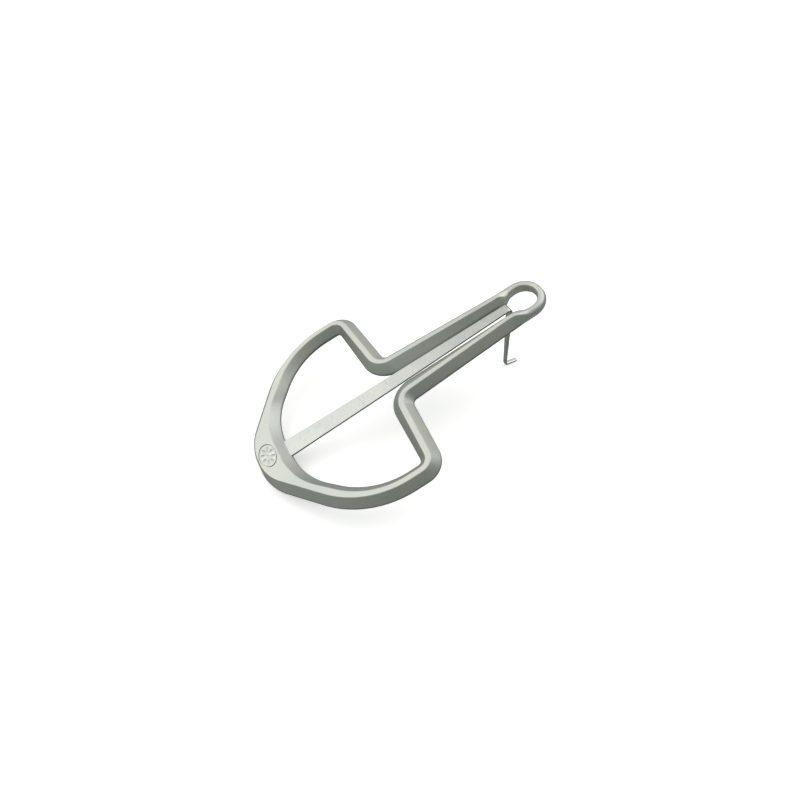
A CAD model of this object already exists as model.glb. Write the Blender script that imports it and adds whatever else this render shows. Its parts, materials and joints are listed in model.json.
"""Looks of the jaw harp: a bead-blasted cast frame and one continuous spring-steel reed."""
import json
import logging
import math
from dataclasses import dataclass, field
from enum import Enum
from typing import Sequence

import bmesh
import bpy
from mathutils import Matrix, Vector


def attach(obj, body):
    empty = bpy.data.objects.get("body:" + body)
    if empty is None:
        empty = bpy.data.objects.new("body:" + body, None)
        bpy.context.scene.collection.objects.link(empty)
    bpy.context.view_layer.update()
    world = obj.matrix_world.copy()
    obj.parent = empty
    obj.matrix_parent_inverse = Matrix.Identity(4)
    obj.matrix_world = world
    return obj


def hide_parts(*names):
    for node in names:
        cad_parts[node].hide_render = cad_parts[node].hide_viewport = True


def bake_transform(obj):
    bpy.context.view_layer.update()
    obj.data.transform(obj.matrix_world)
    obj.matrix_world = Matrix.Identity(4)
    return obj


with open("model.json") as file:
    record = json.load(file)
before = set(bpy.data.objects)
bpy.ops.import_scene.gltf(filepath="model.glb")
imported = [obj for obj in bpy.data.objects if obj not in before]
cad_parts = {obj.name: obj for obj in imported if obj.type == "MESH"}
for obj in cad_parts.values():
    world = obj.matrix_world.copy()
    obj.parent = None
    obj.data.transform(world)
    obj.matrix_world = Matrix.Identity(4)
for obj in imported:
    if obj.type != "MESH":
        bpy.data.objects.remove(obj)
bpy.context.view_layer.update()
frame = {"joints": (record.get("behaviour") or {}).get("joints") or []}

LOG = logging.getLogger("jaw_harp")
MM = 0.001
SHARP_ANGLE = math.radians(38)
BEVEL_ANGLE = 1.0
FLAT_LAND = 0.9999
SIDE_FACE = 0.8
MERGE = 1e-7
NO_LENGTH = 1e-9
CUT_EDGE = "cut_edge"
Colour = tuple[float, float, float]


# --------------------------------------------------------------------------------------------
# Paths
# --------------------------------------------------------------------------------------------


@dataclass(frozen=True)
class Corner:
    """A corner of a path in a plane, in metres, and the radius that rounds it."""

    x: float
    y: float
    radius: float = 0.0

    def point(self) -> Vector:
        """The corner as a vector."""
        return Vector((self.x, self.y))


@dataclass(frozen=True)
class Run:
    """A straight run, or an arc where sweep isn't zero.

    start is the first point; for an arc, centre is its middle and sweep its angle in radians.
    """

    start: Vector
    end: Vector
    centre: Vector
    sweep: float = 0.0

    @property
    def length(self) -> float:
        """Length along the run."""
        if self.sweep:
            return (self.start - self.centre).length * abs(self.sweep)
        return (self.end - self.start).length

    def at(self, share: float) -> Vector:
        """The point at that share of the run, from 0 to 1."""
        if self.sweep:
            turn = Matrix.Rotation(self.sweep * share, 2)
            return self.centre + turn @ (self.start - self.centre)
        return self.start.lerp(self.end, share)


class RoundedPath:
    """Straight runs joined by tangent arcs.

    lines[k] ends at corner k's arc, and arcs[k] is that arc; the last line ends the path.
    """

    def __init__(self, corners: Sequence[Corner]) -> None:
        """Lay the runs through the corners.

        Args:
            corners: the first and the last are the path's ends, and the others are rounded.
        """
        self.lines: list[Run] = []
        self.arcs: list[Run] = []
        last = corners[0].point()
        for before, here, after in zip(corners, corners[1:], corners[2:]):
            at = here.point()
            back = (before.point() - at).normalized()
            ahead = (after.point() - at).normalized()
            half = back.angle(ahead) / 2
            reach = here.radius / math.tan(half)
            start = at + back * reach
            end = at + ahead * reach
            turn = math.pi - 2 * half
            side = back.x * ahead.y - back.y * ahead.x
            sweep = -math.copysign(turn, side) if here.radius else 0.0
            centre = at
            if here.radius:
                centre = at + (back + ahead).normalized() * (here.radius / math.sin(half))
            self.lines.append(Run(last, start, last))
            self.arcs.append(Run(start, end, centre, sweep))
            last = end
        finish = corners[-1].point()
        self.lines.append(Run(last, finish, last))

    @staticmethod
    def sample(runs: Sequence[Run], count: int) -> list[Vector]:
        """Points at even spacing along some runs, without the last point.

        Args:
            runs: the runs, in order.
            count: how many points.

        Returns:
            The points.
        """
        total = sum(run.length for run in runs)
        points = []
        for step in range(count):
            left = total * step / count
            for run in runs:
                if left <= run.length or run is runs[-1]:
                    points.append(run.at(left / run.length if run.length else 0.0))
                    break
                left -= run.length
        return points


def smooth(low: float, high: float, value: float) -> float:
    """An even S-curve from 0 at low to 1 at high.

    Args:
        low: where the curve leaves 0.
        high: where it reaches 1.
        value: the place on it.

    Returns:
        The share.
    """
    share = min(1.0, max(0.0, (value - low) / (high - low)))
    return share * share * (3 - 2 * share)


# --------------------------------------------------------------------------------------------
# Shader groups and finishes
# --------------------------------------------------------------------------------------------


class Socket(Enum):
    """Socket types of a shader group."""

    VALUE = "NodeSocketFloat"
    COLOUR = "NodeSocketColor"


class GroupName(Enum):
    """The shader groups that the finishes share."""

    GRAIN = "grain"
    EDGE_WEAR = "edge_wear"
    TINT = "tint"
    BRUSHING = "brushing"
    PARTING = "parting"


class GroupMaker:
    """Builds a shader group node by node."""

    def __init__(self, name: GroupName) -> None:
        """Start an empty group.

        Args:
            name: the group's name.
        """
        self.tree = bpy.data.node_groups.new(name.value, "ShaderNodeTree")
        self.inlet = self.tree.nodes.new("NodeGroupInput")
        self.outlet = self.tree.nodes.new("NodeGroupOutput")

    def input(self, name: str, kind: Socket, value: float | Colour | None = None) -> None:
        """Add a named input.

        Args:
            name: the socket's name.
            kind: the socket's type.
            value: its default.
        """
        socket = self.tree.interface.new_socket(name, in_out="INPUT", socket_type=kind.value)
        if value is not None:
            socket.default_value = (*value, 1.0) if isinstance(value, tuple) else value

    def output(self, name: str, kind: Socket) -> None:
        """Add a named output."""
        self.tree.interface.new_socket(name, in_out="OUTPUT", socket_type=kind.value)

    def node(self, kind: str, **settings: object) -> bpy.types.Node:
        """Add a node and set its properties.

        Args:
            kind: the node's type.
            settings: properties by name.

        Returns:
            The node.
        """
        made = self.tree.nodes.new(kind)
        for key, value in settings.items():
            setattr(made, key, value)
        return made

    def link(self, source: bpy.types.NodeSocket, target: bpy.types.NodeSocket) -> None:
        """Join two sockets."""
        self.tree.links.new(source, target)

    def math(self, operation: str, one: object, two: object, clamp: bool = False) -> bpy.types.NodeSocket:
        """A Math node on two sockets or numbers.

        Args:
            operation: the Math node's operation.
            one: a socket or a number.
            two: a socket or a number.
            clamp: keep the result from 0 to 1.

        Returns:
            The result's socket.
        """
        made = self.node("ShaderNodeMath", operation=operation, use_clamp=clamp)
        for socket, value in zip(made.inputs, (one, two)):
            if isinstance(value, bpy.types.NodeSocket):
                self.link(value, socket)
            else:
                socket.default_value = value
        return made.outputs[0]


def grain_group() -> bpy.types.NodeTree:
    """Bead-blasted grain: fine pits over a broader unevenness.

    Returns:
        The group, with a Height and a Speckle output.
    """
    maker = GroupMaker(GroupName.GRAIN)
    maker.input("Fine Scale", Socket.VALUE, 3600.0)
    maker.input("Broad Scale", Socket.VALUE, 420.0)
    maker.input("Broad Share", Socket.VALUE, 0.5)
    maker.output("Height", Socket.VALUE)
    maker.output("Speckle", Socket.VALUE)
    place = maker.node("ShaderNodeTexCoord")
    fine = maker.node("ShaderNodeTexNoise")
    fine.inputs["Detail"].default_value = 3.0
    fine.inputs["Roughness"].default_value = 0.6
    broad = maker.node("ShaderNodeTexNoise")
    broad.inputs["Detail"].default_value = 2.0
    for noise, scale in ((fine, "Fine Scale"), (broad, "Broad Scale")):
        maker.link(place.outputs["Object"], noise.inputs["Vector"])
        maker.link(maker.inlet.outputs[scale], noise.inputs["Scale"])
    swell = maker.math("MULTIPLY", broad.outputs["Fac"], maker.inlet.outputs["Broad Share"])
    maker.link(maker.math("ADD", fine.outputs["Fac"], swell), maker.outlet.inputs["Height"])
    maker.link(fine.outputs["Fac"], maker.outlet.inputs["Speckle"])
    return maker.tree


def edge_wear_group() -> bpy.types.NodeTree:
    """Edges rubbed bright by handling, broken up by noise.

    Returns:
        The group, with a Mask output.
    """
    maker = GroupMaker(GroupName.EDGE_WEAR)
    maker.input("From", Socket.VALUE, 0.51)
    maker.input("To", Socket.VALUE, 0.6)
    maker.input("Patchiness", Socket.VALUE, 0.5)
    maker.output("Mask", Socket.VALUE)
    shape = maker.node("ShaderNodeNewGeometry")
    ramp = maker.node("ShaderNodeMapRange")
    maker.link(shape.outputs["Pointiness"], ramp.inputs["Value"])
    maker.link(maker.inlet.outputs["From"], ramp.inputs["From Min"])
    maker.link(maker.inlet.outputs["To"], ramp.inputs["From Max"])
    place = maker.node("ShaderNodeTexCoord")
    patches = maker.node("ShaderNodeTexNoise")
    patches.inputs["Scale"].default_value = 260.0
    maker.link(place.outputs["Object"], patches.inputs["Vector"])
    cut = maker.math("MULTIPLY", patches.outputs["Fac"], maker.inlet.outputs["Patchiness"])
    keep = maker.math("SUBTRACT", 1.0, cut)
    mask = maker.math("MULTIPLY", ramp.outputs["Result"], keep, clamp=True)
    maker.link(mask, maker.outlet.inputs["Mask"])
    return maker.tree


def tint_group() -> bpy.types.NodeTree:
    """A slow drift between two tints, with a third on the rubbed edges.

    Returns:
        The group, with a Colour output.
    """
    maker = GroupMaker(GroupName.TINT)
    maker.input("Warm", Socket.COLOUR, (0.6, 0.6, 0.55))
    maker.input("Cool", Socket.COLOUR, (0.55, 0.58, 0.6))
    maker.input("Rubbed", Socket.COLOUR, (0.8, 0.8, 0.78))
    maker.input("Wear", Socket.VALUE, 0.0)
    maker.input("Speckle", Socket.VALUE, 0.5)
    maker.input("Speckle Share", Socket.VALUE, 0.5)
    maker.input("Drift Scale", Socket.VALUE, 60.0)
    maker.output("Colour", Socket.COLOUR)
    place = maker.node("ShaderNodeTexCoord")
    drift = maker.node("ShaderNodeTexNoise")
    drift.inputs["Detail"].default_value = 3.0
    maker.link(place.outputs["Object"], drift.inputs["Vector"])
    maker.link(maker.inlet.outputs["Drift Scale"], drift.inputs["Scale"])
    spread = maker.node("ShaderNodeMapRange")
    spread.inputs["From Min"].default_value = 0.35
    spread.inputs["From Max"].default_value = 0.65
    maker.link(drift.outputs["Fac"], spread.inputs["Value"])
    tones = maker.node("ShaderNodeMix", data_type="RGBA")
    maker.link(spread.outputs["Result"], tones.inputs["Factor"])
    maker.link(maker.inlet.outputs["Warm"], tones.inputs["A"])
    maker.link(maker.inlet.outputs["Cool"], tones.inputs["B"])
    pits = maker.math("SUBTRACT", maker.inlet.outputs["Speckle"], 0.5)
    pits = maker.math("MULTIPLY", pits, maker.inlet.outputs["Speckle Share"])
    pits = maker.math("ADD", pits, 1.0)
    shaded = maker.node("ShaderNodeVectorMath", operation="SCALE")
    maker.link(tones.outputs["Result"], shaded.inputs[0])
    maker.link(pits, shaded.inputs["Scale"])
    worn = maker.node("ShaderNodeMix", data_type="RGBA")
    maker.link(maker.inlet.outputs["Wear"], worn.inputs["Factor"])
    maker.link(shaded.outputs["Vector"], worn.inputs["A"])
    maker.link(maker.inlet.outputs["Rubbed"], worn.inputs["B"])
    maker.link(worn.outputs["Result"], maker.outlet.inputs["Colour"])
    return maker.tree


def brushing_group() -> bpy.types.NodeTree:
    """Fine grinding lines across a strip.

    Returns:
        The group, with a Lines output.
    """
    maker = GroupMaker(GroupName.BRUSHING)
    maker.input("Across", Socket.VALUE, 9000.0)
    maker.input("Along", Socket.VALUE, 500.0)
    maker.output("Lines", Socket.VALUE)
    place = maker.node("ShaderNodeTexCoord")
    split = maker.node("ShaderNodeSeparateXYZ")
    maker.link(place.outputs["Object"], split.inputs[0])
    join = maker.node("ShaderNodeCombineXYZ")
    along = maker.math("ADD", split.outputs["X"], split.outputs["Z"])
    maker.link(maker.math("MULTIPLY", along, maker.inlet.outputs["Across"]), join.inputs["X"])
    maker.link(maker.math("MULTIPLY", split.outputs["Y"], maker.inlet.outputs["Along"]), join.inputs["Y"])
    lines = maker.node("ShaderNodeTexNoise")
    lines.inputs["Scale"].default_value = 1.0
    lines.inputs["Detail"].default_value = 2.0
    maker.link(join.outputs[0], lines.inputs["Vector"])
    maker.link(lines.outputs["Fac"], maker.outlet.inputs["Lines"])
    return maker.tree


def parting_group() -> bpy.types.NodeTree:
    """The dull line along the mid-plane, where the two halves of the mould met.

    Returns:
        The group, with a Mask output.
    """
    maker = GroupMaker(GroupName.PARTING)
    maker.input("Half Width", Socket.VALUE, 0.2 * MM)
    maker.input("Fade", Socket.VALUE, 0.5 * MM)
    maker.input("Ends At", Socket.VALUE, -5.0 * MM)
    maker.output("Mask", Socket.VALUE)
    place = maker.node("ShaderNodeTexCoord")
    split = maker.node("ShaderNodeSeparateXYZ")
    maker.link(place.outputs["Object"], split.inputs[0])
    height = maker.math("ABSOLUTE", split.outputs["Z"], 0.0)
    ramp = maker.node("ShaderNodeMapRange", interpolation_type="SMOOTHSTEP")
    ramp.inputs["To Min"].default_value = 1.0
    ramp.inputs["To Max"].default_value = 0.0
    maker.link(height, ramp.inputs["Value"])
    maker.link(maker.inlet.outputs["Half Width"], ramp.inputs["From Min"])
    maker.link(maker.inlet.outputs["Fade"], ramp.inputs["From Max"])
    before = maker.math("LESS_THAN", split.outputs["X"], maker.inlet.outputs["Ends At"])
    mask = maker.math("MULTIPLY", ramp.outputs["Result"], before)
    maker.link(mask, maker.outlet.inputs["Mask"])
    return maker.tree


GROUP_MAKERS = {
    GroupName.PARTING: parting_group,
    GroupName.GRAIN: grain_group,
    GroupName.EDGE_WEAR: edge_wear_group,
    GroupName.TINT: tint_group,
    GroupName.BRUSHING: brushing_group,
}


class MaterialMaker:
    """A material around one Principled BSDF, with shared groups placed in it."""

    def __init__(self, name: str) -> None:
        """Start the material.

        Args:
            name: the material's name.
        """
        self.material = bpy.data.materials.new(name)
        self.material.use_nodes = True
        self.tree = self.material.node_tree
        self.shader = self.tree.nodes["Principled BSDF"]

    def group(self, name: GroupName, **values: float | Colour) -> bpy.types.Node:
        """Place a shared group.

        Args:
            name: which group.
            values: its inputs by name, with underscores for spaces.

        Returns:
            The group's node.
        """
        tree = bpy.data.node_groups.get(name.value) or GROUP_MAKERS[name]()
        made = self.tree.nodes.new("ShaderNodeGroup")
        made.node_tree = tree
        for key, value in values.items():
            socket = made.inputs[key.replace("_", " ")]
            socket.default_value = (*value, 1.0) if isinstance(value, tuple) else value
        return made

    def link(self, source: bpy.types.NodeSocket, target: bpy.types.NodeSocket) -> None:
        """Join two sockets."""
        self.tree.links.new(source, target)

    def remap(self, source: bpy.types.NodeSocket, low: float, high: float) -> bpy.types.NodeSocket:
        """Spread a 0 to 1 value between two numbers.

        Args:
            source: the value.
            low: the result at 0.
            high: the result at 1.

        Returns:
            The result's socket.
        """
        made = self.tree.nodes.new("ShaderNodeMapRange")
        made.inputs["To Min"].default_value = low
        made.inputs["To Max"].default_value = high
        self.link(source, made.inputs["Value"])
        return made.outputs["Result"]

    def mix(self, share: bpy.types.NodeSocket, colour: bpy.types.NodeSocket,
            other: Colour) -> bpy.types.NodeSocket:
        """Mix a colour with a fixed one.

        Args:
            share: how much of the fixed one.
            colour: the first colour.
            other: the fixed one.

        Returns:
            The result's socket.
        """
        made = self.tree.nodes.new("ShaderNodeMix")
        made.data_type = "RGBA"
        self.link(share, made.inputs["Factor"])
        self.link(colour, made.inputs["A"])
        made.inputs["B"].default_value = (*other, 1.0)
        return made.outputs["Result"]

    def attribute(self, name: str) -> bpy.types.NodeSocket:
        """The value of one of the piece's attributes."""
        made = self.tree.nodes.new("ShaderNodeAttribute")
        made.attribute_name = name
        return made.outputs["Fac"]

    def bump(self, height: bpy.types.NodeSocket, distance: float, strength: float) -> None:
        """Feed a Bump node to the shader's Normal.

        Args:
            height: the height, about 0 to 1.
            distance: the depth of that range, in metres.
            strength: how much of it shows.
        """
        made = self.tree.nodes.new("ShaderNodeBump")
        made.inputs["Distance"].default_value = distance
        made.inputs["Strength"].default_value = strength
        self.link(height, made.inputs["Height"])
        self.link(made.outputs["Normal"], self.shader.inputs["Normal"])


@dataclass(frozen=True)
class CastFinish:
    """Bead-blasted cast metal, a little brighter where hands rub its edges."""

    warm: Colour = (0.565, 0.567, 0.512)
    cool: Colour = (0.50, 0.53, 0.505)
    rubbed: Colour = (0.66, 0.67, 0.62)
    parting: Colour = (0.26, 0.28, 0.27)
    rough_low: float = 0.38
    rough_high: float = 0.58
    grain_depth: float = 0.07 * MM

    def material(self) -> bpy.types.Material:
        """The finish as a material."""
        maker = MaterialMaker("cast_metal")
        grain = maker.group(GroupName.GRAIN)
        wear = maker.group(GroupName.EDGE_WEAR)
        tint = maker.group(GroupName.TINT, Warm=self.warm, Cool=self.cool, Rubbed=self.rubbed)
        maker.link(wear.outputs["Mask"], tint.inputs["Wear"])
        maker.link(grain.outputs["Speckle"], tint.inputs["Speckle"])
        parting = maker.group(GroupName.PARTING)
        colour = maker.mix(parting.outputs["Mask"], tint.outputs["Colour"], self.parting)
        maker.link(colour, maker.shader.inputs["Base Color"])
        roughness = maker.remap(grain.outputs["Speckle"], self.rough_low, self.rough_high)
        maker.link(roughness, maker.shader.inputs["Roughness"])
        maker.shader.inputs["Metallic"].default_value = 1.0
        maker.bump(grain.outputs["Height"], self.grain_depth, 0.5)
        return maker.material


@dataclass(frozen=True)
class SteelFinish:
    """Ground spring steel."""

    warm: Colour = (0.47, 0.48, 0.44)
    cool: Colour = (0.42, 0.445, 0.43)
    rubbed: Colour = (0.65, 0.65, 0.62)
    sheared: Colour = (0.035, 0.035, 0.03)
    rough_low: float = 0.26
    rough_high: float = 0.44
    line_depth: float = 0.012 * MM

    def material(self) -> bpy.types.Material:
        """The finish as a material."""
        maker = MaterialMaker("spring_steel")
        lines = maker.group(GroupName.BRUSHING)
        wear = maker.group(GroupName.EDGE_WEAR, From=0.52, To=0.62)
        tint = maker.group(GroupName.TINT, Warm=self.warm, Cool=self.cool, Rubbed=self.rubbed,
                           Speckle_Share=0.9, Drift_Scale=110.0)
        maker.link(wear.outputs["Mask"], tint.inputs["Wear"])
        maker.link(lines.outputs["Lines"], tint.inputs["Speckle"])
        colour = maker.mix(maker.attribute(CUT_EDGE), tint.outputs["Colour"], self.sheared)
        maker.link(colour, maker.shader.inputs["Base Color"])
        roughness = maker.remap(lines.outputs["Lines"], self.rough_low, self.rough_high)
        maker.link(roughness, maker.shader.inputs["Roughness"])
        maker.shader.inputs["Metallic"].default_value = 1.0
        maker.bump(lines.outputs["Lines"], self.line_depth, 0.5)
        return maker.material


# --------------------------------------------------------------------------------------------
# Mesh helpers
# --------------------------------------------------------------------------------------------


def finish_object(bm: bmesh.types.BMesh, name: str, material: bpy.types.Material) -> bpy.types.Object:
    """Turn a bmesh into a shaded object at the origin.

    Args:
        bm: the mesh; it is freed.
        name: the piece's name.
        material: its finish.

    Returns:
        The object.
    """
    bmesh.ops.recalc_face_normals(bm, faces=bm.faces)
    mark_sharp_edges(bm)
    mesh = bpy.data.meshes.new(name)
    bm.to_mesh(mesh)
    bm.free()
    made = bpy.data.objects.new(name, mesh)
    bpy.context.scene.collection.objects.link(made)
    mesh.materials.append(material)
    return made


def mark_sharp_edges(bm: bmesh.types.BMesh) -> None:
    """Shade the curved faces smooth, with a crease where two faces meet at a real corner.

    Args:
        bm: the mesh.
    """
    bm.normal_update()
    for face in bm.faces:
        face.smooth = abs(face.normal.z) < FLAT_LAND
    for edge in bm.edges:
        if len(edge.link_faces) == 2:
            edge.smooth = edge.calc_face_angle() < SHARP_ANGLE


def cut_away(piece: bpy.types.Object, cutter: bmesh.types.BMesh) -> bpy.types.Object:
    """Take the cutter's volume out of a piece.

    Args:
        piece: the piece; its mesh is replaced.
        cutter: a closed mesh of one or more volumes; it is freed.

    Returns:
        The piece.
    """
    bmesh.ops.recalc_face_normals(cutter, faces=cutter.faces)
    mesh = bpy.data.meshes.new("cutter")
    cutter.to_mesh(mesh)
    cutter.free()
    tool = bpy.data.objects.new("cutter", mesh)
    bpy.context.scene.collection.objects.link(tool)
    step = piece.modifiers.new("cut", "BOOLEAN")
    step.object = tool
    step.solver = "EXACT"
    view = bpy.context.evaluated_depsgraph_get()
    cut = bpy.data.meshes.new_from_object(piece.evaluated_get(view))
    piece.modifiers.clear()
    old = piece.data
    name = old.name
    piece.data = cut
    bpy.data.meshes.remove(old)
    cut.name = name
    bpy.data.objects.remove(tool)
    bpy.data.meshes.remove(mesh)
    bm = bmesh.new()
    bm.from_mesh(cut)
    mark_sharp_edges(bm)
    bm.to_mesh(cut)
    bm.free()
    return piece


# --------------------------------------------------------------------------------------------
# The frame casting
# --------------------------------------------------------------------------------------------


@dataclass(frozen=True)
class CrownCuts:
    """What is cut into the crown: the tang's slot and a plain oval mark with a rosette of petals."""

    land_z: float = 2.8 * MM
    mark: tuple[float, float] = (-83.95 * MM, 0.0)
    mark_half: tuple[float, float] = (2.65 * MM, 3.85 * MM)
    groove: float = 0.36 * MM
    depth: float = 0.28 * MM
    petal: tuple[float, float, float] = (0.95 * MM, 0.42 * MM, 0.5 * MM)
    petal_depth: float = 0.17 * MM
    petal_reach: float = 0.56
    petals: int = 8
    slot_start: float = -85.62 * MM
    slot_end: float = -76.0 * MM
    slot_half: float = 2.78 * MM
    slot_z: float = 0.3 * MM
    slot_height: float = 0.66 * MM

    def add_groove(self, bm: bmesh.types.BMesh) -> None:
        """An oval ring that cuts the groove."""
        rims = []
        for inset in (0.0, self.groove):
            size = (self.mark_half[0] - inset, self.mark_half[1] - inset, 1.0, 1.0)
            place = Matrix.Translation((*self.mark, self.land_z - self.depth)) @ Matrix.Diagonal(size)
            verts = bmesh.ops.create_circle(bm, segments=72, radius=1.0, matrix=place)["verts"]
            rims += {e for v in verts for e in v.link_edges}
        floor = bmesh.ops.bridge_loops(bm, edges=rims)["faces"]
        self.raise_walls(bm, floor)

    @staticmethod
    def raise_walls(bm: bmesh.types.BMesh, floor: Sequence[bmesh.types.BMFace]) -> None:
        """Pull a copy of some faces up, with walls, clear of the land."""
        grown = bmesh.ops.extrude_face_region(bm, geom=list(floor), use_keep_orig=True)["geom"]
        verts = [v for v in grown if isinstance(v, bmesh.types.BMVert)]
        bmesh.ops.translate(bm, verts=verts, vec=(0, 0, 1.0 * MM))

    def add_petals(self, bm: bmesh.types.BMesh) -> None:
        """Long balls that cut a rosette of shallow petals round a middle dimple."""
        centre = Matrix.Translation((*self.mark, self.land_z + self.petal[2] - self.petal_depth))
        ball = Matrix.Diagonal((self.petal[1], self.petal[1], self.petal[2], 1.0))
        bmesh.ops.create_uvsphere(bm, u_segments=20, v_segments=14, radius=1.0, matrix=centre @ ball)
        for number in range(self.petals):
            turn = 2 * math.pi * (number + 0.5) / self.petals
            reach = Vector((self.mark_half[0] * math.cos(turn), self.mark_half[1] * math.sin(turn), 0))
            place = Matrix.Translation(reach * self.petal_reach) @ Matrix.Rotation(turn, 4, "Z")
            long_ball = Matrix.Diagonal((*self.petal, 1.0))
            bmesh.ops.create_uvsphere(bm, u_segments=20, v_segments=14, radius=1.0,
                                      matrix=centre @ place @ long_ball)

    def add_slot(self, bm: bmesh.types.BMesh) -> None:
        """A box that cuts the tang's slot."""
        size = (self.slot_end - self.slot_start, 2 * self.slot_half, self.slot_height, 1.0)
        middle = ((self.slot_start + self.slot_end) / 2, 0.0, self.slot_z)
        bmesh.ops.create_cube(bm, size=1.0, matrix=Matrix.Translation(middle) @ Matrix.Diagonal(size))

    def build_mesh(self) -> bmesh.types.BMesh:
        """All the cutting volumes in one mesh."""
        bm = bmesh.new()
        self.add_groove(bm)
        self.add_petals(bm)
        self.add_slot(bm)
        return bm


@dataclass(frozen=True)
class Station:
    """One cross-section of the casting: four places in plan, and how round the section is."""

    ridge_out: Vector
    land_out: Vector
    land_in: Vector
    ridge_in: Vector
    roundness: float

    def place(self, across: float) -> Vector:
        """The plan point at a distance across the section, measured from the outer ridge."""
        stops = (self.ridge_out, self.land_out, self.land_in, self.ridge_in)
        for one, two in zip(stops, stops[1:]):
            step = (two - one).length
            if across <= step or two is stops[-1]:
                return one.lerp(two, across / step)
            across -= step
        return self.ridge_in


@dataclass
class CastFrame:
    """The casting: crown, bow, shoulders, knees, arms and lanyard eye in one closed loop."""

    land_z: float = 2.8 * MM
    band_z: float = 0.25 * MM
    eye_crest_z: float = 1.7 * MM
    land_edge_radius: float = 0.42 * MM
    ridge_edge_radius: float = 0.2 * MM
    land_share: float = 0.45 / math.tan(math.radians(26))
    runout: tuple[float, float] = (0.10, 0.40)
    leg_counts: tuple[int, ...] = (4, 20, 8, 30, 5, 14, 16, 16, 26, 44)
    section_counts: tuple[int, ...] = (1, 3, 4, 6, 4, 6, 4, 3, 1)
    name: str = "frame_casting"
    nodes: tuple[str, ...] = ("crown", "bow_left", "bow_right", "arm_left", "arm_right", "eye")
    stations: list[Station] = field(default_factory=list)

    def corners(self, *items: tuple[float, float, float]) -> list[Corner]:
        """Corners from numbers in millimetres."""
        return [Corner(x * MM, y * MM, r * MM) for x, y, r in items]

    def outer_ridge(self) -> list[Corner]:
        """Outer ridge in plan on the left side, from the crown's centreline to the eye's."""
        return self.corners(
            (-88.0, 0, 0), (-88.0, 7.63, 16.2), (-67.65, 31.9, 30.2), (-44.0, 31.9, 6.6),
            (-42.1, 8.83, 1.5), (-7.5, 6.89, 0), (6.5, 6.2, 6.2), (6.5, 0, 0))

    def outer_land(self) -> list[Corner]:
        """Outer edge of the land on the same side."""
        return self.corners(
            (-87.0, 0, 0), (-87.0, 5.4, 13.0), (-66.6, 29.7, 28.0), (-46.2, 29.7, 4.4),
            (-44.3, 6.75, 3.7), (-7.5, 4.69, 0), (5.6, 5.3, 5.2), (5.6, 0, 0))

    def inner_land(self) -> list[Corner]:
        """Inner edge of the land on the same side."""
        return self.corners(
            (-80.9, 0, 0), (-80.9, 10.6, 19.5), (-64.3, 28.3, 24.5), (-47.6, 28.3, 2.9),
            (-45.7, 5.5, 5.2), (-7.5, 3.64, 0), (4.6, 4.4, 4.3), (4.6, 0, 0))

    def inner_ridge(self) -> list[Corner]:
        """Inner ridge on the same side: the bow's inside, the slot and the eye's hole."""
        return self.corners(
            (-78.3, 0, 0), (-78.3, 10.6, 19.5), (-63.3, 26.3, 24.0), (-49.0, 26.3, 1.3),
            (-47.7, 2.2, 8.4), (-7.5, 1.77, 0), (-4.1, 1.74, 1.6), (-1.5, 4.0, 3.4),
            (4.0, 4.0, 3.9), (4.0, 0, 0))

    def outline(self, corners: Sequence[Corner]) -> list[Vector]:
        """Points along one outline, the same number for every outline.

        Args:
            corners: the outline's corners.

        Returns:
            The points, from the crown's centreline to the eye's.
        """
        path = RoundedPath(corners)
        legs = [[path.lines[0]], [path.arcs[0]]]
        for k in range(1, 4):
            legs += [[path.lines[k]], [path.arcs[k]]]
        legs.append([path.lines[4]])
        tail = []
        for k in range(5, len(path.arcs)):
            tail += [path.lines[k], path.arcs[k]]
        legs.append(tail + [path.lines[-1]])
        points: list[Vector] = []
        for leg, count in zip(legs, self.leg_counts):
            points += RoundedPath.sample([run for run in leg if run.length > NO_LENGTH], count)
        points.append(corners[-1].point())
        return points

    def lay_stations(self) -> None:
        """Work out the cross-sections of the left half."""
        rows = [self.outline(c) for c in (
            self.outer_ridge(), self.outer_land(), self.inner_land(), self.inner_ridge())]
        tail_start = len(rows[0]) - 1 - self.leg_counts[-1]
        for number, places in enumerate(zip(*rows)):
            share = (number - tail_start) / self.leg_counts[-1]
            self.stations.append(Station(*places, smooth(*self.runout, share)))

    def section(self, station: Station) -> list[tuple[float, float]]:
        """Upper half of a cross-section, from the outer to the inner ridge.

        Args:
            station: where.

        Returns:
            (distance across from the outer ridge, height) at each point, both ends included.
        """
        stops = (station.ridge_out, station.land_out, station.land_in, station.ridge_in)
        steps = [(b - a).length for a, b in zip(stops, stops[1:])]
        whole = sum(steps)
        soft = min(self.land_edge_radius, self.land_share * steps[1])
        path = RoundedPath([
            Corner(0, 0), Corner(0, self.band_z, self.ridge_edge_radius),
            Corner(steps[0], self.land_z, soft), Corner(steps[0] + steps[1], self.land_z, soft),
            Corner(whole, self.band_z, self.ridge_edge_radius), Corner(whole, 0)])
        flat: list[Vector] = []
        legs = [[path.lines[0]]]
        for arc, line in zip(path.arcs, path.lines[1:]):
            legs += [[arc], [line]]
        for leg, count in zip(legs, self.section_counts):
            flat += RoundedPath.sample(leg, count)
        flat.append(Vector((whole, 0)))
        out = []
        for number, point in enumerate(flat):
            turn = math.pi * number / (len(flat) - 1)
            oval = Vector((whole / 2 * (1 - math.cos(turn)), self.eye_crest_z * math.sin(turn)))
            mixed = point.lerp(oval, station.roundness)
            out.append((mixed.x, mixed.y))
        return out

    def ring(self, number: int, side: int) -> list[Vector]:
        """Points round one whole cross-section.

        Args:
            number: which station.
            side: 1 on the left half of the casting, -1 on the right.

        Returns:
            The points, from the outer ridge over the land and back under it.
        """
        station = self.stations[number]
        upper = []
        lower = []
        for across, height in self.section(station):
            spot = station.place(across)
            upper.append(Vector((spot.x, side * spot.y, height)))
            lower.append(Vector((spot.x, side * spot.y, -height)))
        return upper + lower[-2:0:-1]

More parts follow.
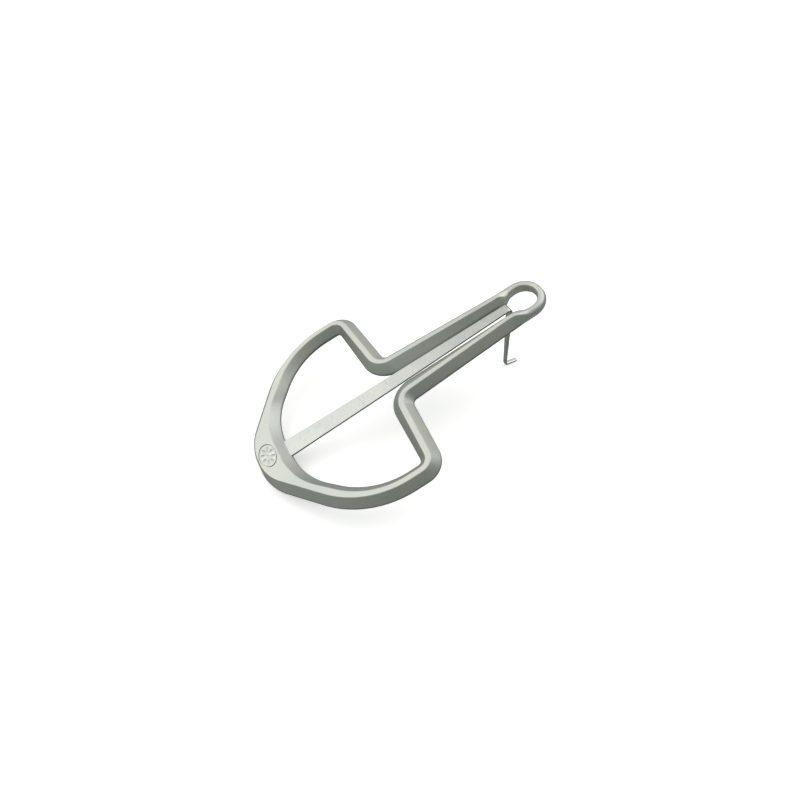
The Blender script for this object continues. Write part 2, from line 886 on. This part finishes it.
    def build_mesh(self) -> bmesh.types.BMesh:
        """Sweep the cross-section round the whole casting and close it on itself.

        Returns:
            The closed mesh.
        """
        self.lay_stations()
        last = len(self.stations) - 1
        tour = [(k, 1) for k in range(last + 1)] + [(k, -1) for k in range(last - 1, -1, -1)]
        first = self.ring(0, 1)
        bm = bmesh.new()
        verts = bmesh.ops.create_circle(bm, cap_ends=False, segments=len(first), radius=1.0)["verts"]
        for number, side in tour:
            if (number, side) != (0, 1):
                rim = set(verts)
                edges = list({e for v in verts for e in v.link_edges if e.other_vert(v) in rim})
                grown = bmesh.ops.extrude_edge_only(bm, edges=edges)["geom"]
                fresh = {v for v in grown if isinstance(v, bmesh.types.BMVert)}
                verts = [next(e.other_vert(v) for e in v.link_edges if e.other_vert(v) in fresh)
                         for v in verts]
            for vert, point in zip(verts, self.ring(number, side)):
                vert.co = point
        bmesh.ops.remove_doubles(bm, verts=bm.verts, dist=MERGE)
        return bm

    def build(self, finish: CastFinish) -> bpy.types.Object:
        """Make the casting.

        Args:
            finish: its finish.

        Returns:
            The piece.
        """
        bm = self.build_mesh()
        piece = cut_away(finish_object(bm, self.name, finish.material()), CrownCuts().build_mesh())
        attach(piece, "frame")
        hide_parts(*self.nodes)
        return piece


# --------------------------------------------------------------------------------------------
# The reed
# --------------------------------------------------------------------------------------------


@dataclass
class Reed:
    """One strip of spring steel: clamped tang, tapered tongue, bent shank and short foot."""

    thickness: float = 0.6 * MM
    tang_x: float = -85.6 * MM
    root_x: float = -78.3 * MM
    root_half: float = 2.75 * MM
    tip_half: float = 1.3 * MM
    height: float = 0.3 * MM
    flex_x: float = -53.6 * MM
    rise: float = math.radians(0.7)
    rise_radius: float = 3000 * MM
    corner: tuple[float, float] = (-4.3 * MM, 0.0)
    bend_radius: float = 1.0 * MM
    heel: tuple[float, float] = (-10.0 * MM, -25.0 * MM)
    heel_radius: float = 0.7 * MM
    toe: tuple[float, float] = (-6.0 * MM, -26.6 * MM)
    toe_half: float = 0.55 * MM
    edge_radius: float = 0.08 * MM
    worn_cut: float = 0.15
    bend_back: float = 12.0 * MM
    bend_ahead: float = 30.0 * MM
    tongue_count: int = 90
    tail_counts: tuple[int, ...] = (10, 26, 8, 6)
    name: str = "reed_strip"
    nodes: tuple[str, ...] = ("reed_root", "reed_tongue", "reed_trigger")

    def centreline(self) -> list[Vector]:
        """Points of the strip's centreline in the XZ plane."""
        flex = Corner(self.flex_x, self.height, self.rise_radius)
        path = RoundedPath([
            Corner(self.tang_x, self.height), flex, self.risen(self.corner, self.bend_radius),
            self.risen(self.heel, self.heel_radius), self.risen(self.toe, 0.0)])
        points = RoundedPath.sample([path.lines[0], path.arcs[0], path.lines[1]], self.tongue_count)
        tail = (path.arcs[1], path.lines[2], path.arcs[2], path.lines[3])
        for run, count in zip(tail, self.tail_counts):
            points += RoundedPath.sample([run], count)
        points.append(self.risen(self.toe, 0.0).point())
        return points

    def risen(self, place: tuple[float, float], radius: float) -> Corner:
        """A corner beyond the flex line, turned up about it.

        Args:
            place: (x, height above the strip) as if the strip lay flat.
            radius: the radius that rounds the corner.

        Returns:
            The corner in the XZ plane.
        """
        turn = Matrix.Rotation(self.rise, 2)
        spot = turn @ Vector((place[0] - self.flex_x, place[1]))
        return Corner(self.flex_x + spot.x, self.height + spot.y, radius)

    def half_width(self, point: Vector) -> float:
        """Half the strip's width at a point of its centreline.

        Args:
            point: the point, as (x, z).

        Returns:
            Half the width.
        """
        if point.y > -0.2 * MM:
            share = (point.x - self.root_x) / (self.corner[0] - self.root_x)
            return self.root_half + (self.tip_half - self.root_half) * max(0.0, min(1.0, share))
        share = min(1.0, point.y / self.toe[1])
        return self.tip_half + (self.toe_half - self.tip_half) * share

    def build_mesh(self) -> bmesh.types.BMesh:
        """Draw a rectangle along the centreline and soften its long edges.

        Returns:
            The closed mesh.
        """
        line = self.centreline()
        bm = bmesh.new()
        cap = bmesh.ops.create_grid(bm, x_segments=1, y_segments=1, size=1.0)["verts"]
        corners = [(v, v.co.x, v.co.y) for v in cap]
        face = bm.faces[:][0]
        for number, point in enumerate(line):
            if number:
                grown = bmesh.ops.extrude_face_region(bm, geom=[face])["geom"]
                if number > 1:
                    bmesh.ops.delete(bm, geom=[face], context="FACES_ONLY")
                fresh = [v for v in grown if isinstance(v, bmesh.types.BMVert)]
                corners = [(min(fresh, key=lambda v, o=old: (v.co - o.co).length), sx, sy)
                           for old, sx, sy in corners]
                face = next(f for f in grown if isinstance(f, bmesh.types.BMFace))
            before = line[max(0, number - 1)]
            after = line[min(len(line) - 1, number + 1)]
            ahead = (after - before).normalized()
            up = Vector((-ahead.y, ahead.x))
            half = self.half_width(point)
            for vert, sx, sy in corners:
                spot = point + up * (sy * self.thickness / 2)
                vert.co = Vector((spot.x, sx * half, spot.y))
        bm.normal_update()
        sharp = [e for e in bm.edges if len(e.link_faces) == 2 and e.calc_face_angle() > BEVEL_ANGLE]
        bmesh.ops.bevel(bm, geom=sharp, offset=self.edge_radius, segments=2, profile=0.5,
                        affect="EDGES", material=-1)
        return bm

    def build(self, finish: SteelFinish, hinge: Vector) -> bpy.types.Object:
        """Make the strip and let it bend across its flex line.

        Args:
            finish: its finish.
            hinge: a point of the flex line.

        Returns:
            The piece.
        """
        piece = finish_object(self.build_mesh(), self.name, finish.material())
        sheared = piece.data.attributes.new(CUT_EDGE, "FLOAT", "FACE")
        for face in piece.data.polygons:
            on_tongue = face.center.x < self.corner[0] - 2 * MM and face.center.z > -MM
            dark = 1.0 if on_tongue else self.worn_cut
            sheared.data[face.index].value = dark if abs(face.normal.y) > SIDE_FACE else 0.0
        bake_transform(piece)
        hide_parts(*self.nodes)
        return piece


# --------------------------------------------------------------------------------------------
# Stage
# --------------------------------------------------------------------------------------------


@dataclass
class Studio:
    """The pale floor that the harp leans on, soft light and the camera."""

    target: Vector = field(default_factory=lambda: Vector((-44.8, -6.13, 0.0)) * MM)
    azimuth: float = -3.03
    elevation: float = 56.77
    roll: float = -29.95
    distance: float = 166.3 * MM
    lens: float = 27.0
    nose: Vector = field(default_factory=lambda: Vector((-87.0, 0.0, -2.8)) * MM)
    toe: Vector = field(default_factory=lambda: Vector((-5.7, 0.0, -26.0)) * MM)
    floor_colour: Colour = (0.9, 0.9, 0.9)
    floor_reflected: Colour = (0.37, 0.39, 0.375)
    floor_glow: float = 0.5
    backdrop: Colour = (0.93, 0.93, 0.93)

    def floor_normal(self) -> Vector:
        """The upward direction of the floor, which the harp meets at its nose and its foot."""
        along = (self.toe - self.nose).normalized()
        return Vector((-along.z, 0, along.x))

    def add_floor(self) -> None:
        """A wide pale sheet under the two points of contact."""
        bm = bmesh.new()
        bmesh.ops.create_circle(bm, cap_ends=True, segments=96, radius=3.0)
        turn = self.floor_normal().to_track_quat("Z", "Y").to_matrix().to_4x4()
        bmesh.ops.transform(bm, matrix=Matrix.Translation(self.nose) @ turn, verts=bm.verts)
        mesh = bpy.data.meshes.new("floor")
        bm.to_mesh(mesh)
        bm.free()
        floor = bpy.data.objects.new("floor", mesh)
        bpy.context.scene.collection.objects.link(floor)
        maker = MaterialMaker("floor_paper")
        maker.shader.inputs["Roughness"].default_value = 0.9
        path = maker.tree.nodes.new("ShaderNodeLightPath")
        dim = maker.tree.nodes.new("ShaderNodeRGB")
        dim.outputs["Color"].default_value = (*self.floor_reflected, 1.0)
        colour = maker.mix(path.outputs["Is Camera Ray"], dim.outputs["Color"], self.floor_colour)
        maker.link(colour, maker.shader.inputs["Base Color"])
        maker.shader.inputs["Emission Color"].default_value = (*self.floor_colour, 1.0)
        glow = maker.remap(path.outputs["Is Camera Ray"], 0.0, self.floor_glow)
        maker.link(glow, maker.shader.inputs["Emission Strength"])
        mesh.materials.append(maker.material)

    def add_light(self, name: str, direction: Vector, reach: float, size: float, power: float) -> None:
        """An area light that faces the harp.

        Args:
            name: its name.
            direction: from the harp towards the light.
            reach: its distance in metres.
            size: its diameter in metres.
            power: its power in watts.
        """
        data = bpy.data.lights.new(name, "AREA")
        data.shape = "DISK"
        data.size = size
        data.energy = power
        lamp = bpy.data.objects.new(name, data)
        away = direction.normalized()
        lamp.location = self.target + away * reach
        lamp.rotation_mode = "QUATERNION"
        lamp.rotation_quaternion = away.to_track_quat("Z", "Y")
        bpy.context.scene.collection.objects.link(lamp)

    def add_world(self) -> None:
        """A room that is bright above and behind, and darker low on the viewer's side."""
        world = bpy.data.worlds.new("studio_room")
        bpy.context.scene.world = world
        world.use_nodes = True
        tree = world.node_tree
        tree.nodes.clear()
        place = tree.nodes.new("ShaderNodeTexCoord")
        dot = tree.nodes.new("ShaderNodeVectorMath")
        dot.operation = "DOT_PRODUCT"
        dot.inputs[1].default_value = Vector((0.10, 0.62, 0.78)).normalized()
        ramp = tree.nodes.new("ShaderNodeValToRGB")
        stops = ((0.0, (0.17, 0.195, 0.175)), (0.42, (0.21, 0.24, 0.215)),
                 (0.62, (0.40, 0.42, 0.40)), (0.88, (0.90, 0.90, 0.88)))
        while len(ramp.color_ramp.elements) < len(stops):
            ramp.color_ramp.elements.new(0.5)
        for element, (spot, colour) in zip(ramp.color_ramp.elements, stops):
            element.position = spot
            element.color = (*colour, 1.0)
        spread = tree.nodes.new("ShaderNodeMapRange")
        spread.inputs["From Min"].default_value = -1.0
        back = tree.nodes.new("ShaderNodeBackground")
        out = tree.nodes.new("ShaderNodeOutputWorld")
        tree.links.new(place.outputs["Generated"], dot.inputs[0])
        tree.links.new(dot.outputs["Value"], spread.inputs["Value"])
        tree.links.new(spread.outputs["Result"], ramp.inputs["Fac"])
        path = tree.nodes.new("ShaderNodeLightPath")
        seen = tree.nodes.new("ShaderNodeMix")
        seen.data_type = "RGBA"
        seen.inputs["B"].default_value = (*self.backdrop, 1.0)
        tree.links.new(path.outputs["Is Camera Ray"], seen.inputs["Factor"])
        tree.links.new(ramp.outputs["Color"], seen.inputs["A"])
        tree.links.new(seen.outputs["Result"], back.inputs["Color"])
        tree.links.new(back.outputs["Background"], out.inputs["Surface"])

    def add_camera(self) -> None:
        """The camera, at the angle and distance of a hand-held close view."""
        turn, rise, lean = (math.radians(v) for v in (self.azimuth, self.elevation, self.roll))
        back = Vector((math.cos(rise) * math.sin(turn), -math.cos(rise) * math.cos(turn), math.sin(rise)))
        right = (-back).cross(Vector((0, 0, 1))).normalized()
        up = right.cross(-back)
        side = right * math.cos(lean) + up * math.sin(lean)
        top = up * math.cos(lean) - right * math.sin(lean)
        data = bpy.data.cameras.new("camera")
        data.lens = self.lens
        data.sensor_width = 36.0
        data.clip_start = 0.01
        camera = bpy.data.objects.new("camera", data)
        facing = Matrix((side, top, back)).transposed().to_4x4()
        camera.matrix_world = Matrix.Translation(self.target + back * self.distance) @ facing
        bpy.context.scene.collection.objects.link(camera)
        bpy.context.scene.camera = camera

    def build(self) -> None:
        """Set the whole stage."""
        bpy.context.scene.view_settings.view_transform = "Standard"
        self.add_floor()
        self.add_world()
        up = self.floor_normal()
        self.add_light("key", up + Vector((1.3, 0.15, 0.0)), 0.7, 0.6, 1.35)
        self.add_light("overhead", up + Vector((-0.62, 0.55, 0.0)), 0.8, 0.8, 1.4)
        self.add_camera()


def main() -> None:
    """Build the harp piece by piece."""
    logging.basicConfig(level=logging.INFO, format="%(name)s: %(message)s")
    hinge = Vector(frame["joints"][0]["pos_m"])
    casting = CastFrame().build(CastFinish())
    LOG.info("%s: %d faces", casting.name, len(casting.data.polygons))
    reed = Reed().build(SteelFinish(), hinge)
    LOG.info("%s: %d faces", reed.name, len(reed.data.polygons))
    Studio().build()
    bpy.context.view_layer.update()


if __name__ == "__main__":
    main()
